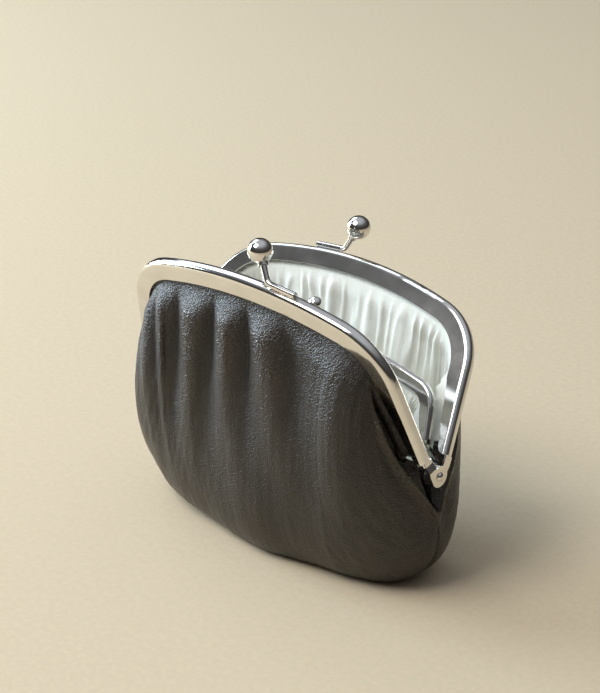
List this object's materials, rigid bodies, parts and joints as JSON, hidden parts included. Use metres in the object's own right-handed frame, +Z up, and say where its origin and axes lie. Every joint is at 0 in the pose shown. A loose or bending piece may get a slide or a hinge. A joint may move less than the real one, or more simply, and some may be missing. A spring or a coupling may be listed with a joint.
{
  "type": "kiss lock frame purse",
  "caption": "Small gathered leather purse on a nickel kiss lock frame, with a second, inner frame and pouch on the same hinge pins.",
  "frame": {"origin": "on the floor, below the middle of the hinge axis", "axes": "+X along the hinge axis, +Z up, the purse's front faces -Y"},
  "size_m": [0.1218, 0.0634, 0.1037],
  "materials": {
    "nickel_frame": "polished nickel plate",
    "nickel_clasp": "polished nickel plate",
    "nickel_rivet": "polished nickel plate",
    "paper_cord": "matte twisted paper",
    "dark_leather": "semi-gloss fine-grained leather",
    "pale_lining": "soft satin lining"
  },
  "bodies": {
    "bag": {"right_rivet": "nickel_rivet", "left_rivet": "nickel_rivet", "front_leather": "dark_leather", "rear_leather": "dark_leather", "front_lining": "pale_lining", "rear_lining": "pale_lining", "front_pouch_wall": "pale_lining", "rear_pouch_wall": "pale_lining"},
    "front_half": {"front_frame": "nickel_frame", "front_clasp_arm": "nickel_clasp", "front_clasp_ball": "nickel_clasp", "front_paper_cord": "paper_cord"},
    "rear_half": {"rear_frame": "nickel_frame", "rear_clasp_arm": "nickel_clasp", "rear_clasp_ball": "nickel_clasp", "rear_paper_cord": "paper_cord"},
    "inner_front_half": {"inner_front_frame": "nickel_frame", "inner_front_clasp_arm": "nickel_clasp", "inner_front_clasp_ball": "nickel_clasp", "inner_front_paper_cord": "paper_cord"},
    "inner_rear_half": {"inner_rear_frame": "nickel_frame", "inner_rear_clasp_arm": "nickel_clasp", "inner_rear_clasp_ball": "nickel_clasp", "inner_rear_paper_cord": "paper_cord"}
  },
  "joints": [
    {"name": "front_hinge", "type": "hinge", "parent": "bag", "child": "front_half", "pos_m": [0, 0, 0.04], "axis": [1, 0, 0], "range_deg": [-17.2, 37.8], "deforming": ["front_leather", "front_lining"]},
    {"name": "rear_hinge", "type": "hinge", "parent": "bag", "child": "rear_half", "pos_m": [0, 0, 0.04], "axis": [-1, 0, 0], "range_deg": [-37.4, 17.6], "deforming": ["rear_leather", "rear_lining"]},
    {"name": "inner_front_hinge", "type": "hinge", "parent": "bag", "child": "inner_front_half", "pos_m": [0, 0, 0.04], "axis": [1, 0, 0], "range_deg": [-9.98, 21.92], "deforming": ["front_pouch_wall"]},
    {"name": "inner_rear_hinge", "type": "hinge", "parent": "bag", "child": "inner_rear_half", "pos_m": [0, 0, 0.04], "axis": [-1, 0, 0], "range_deg": [-27.3, 12.85], "deforming": ["rear_pouch_wall"]}
  ],
  "couplings": [
    {"joint": "inner_front_hinge", "follows": "front_hinge", "ratio": 0.58},
    {"joint": "inner_rear_hinge", "follows": "rear_hinge", "ratio": 0.73}
  ]
}
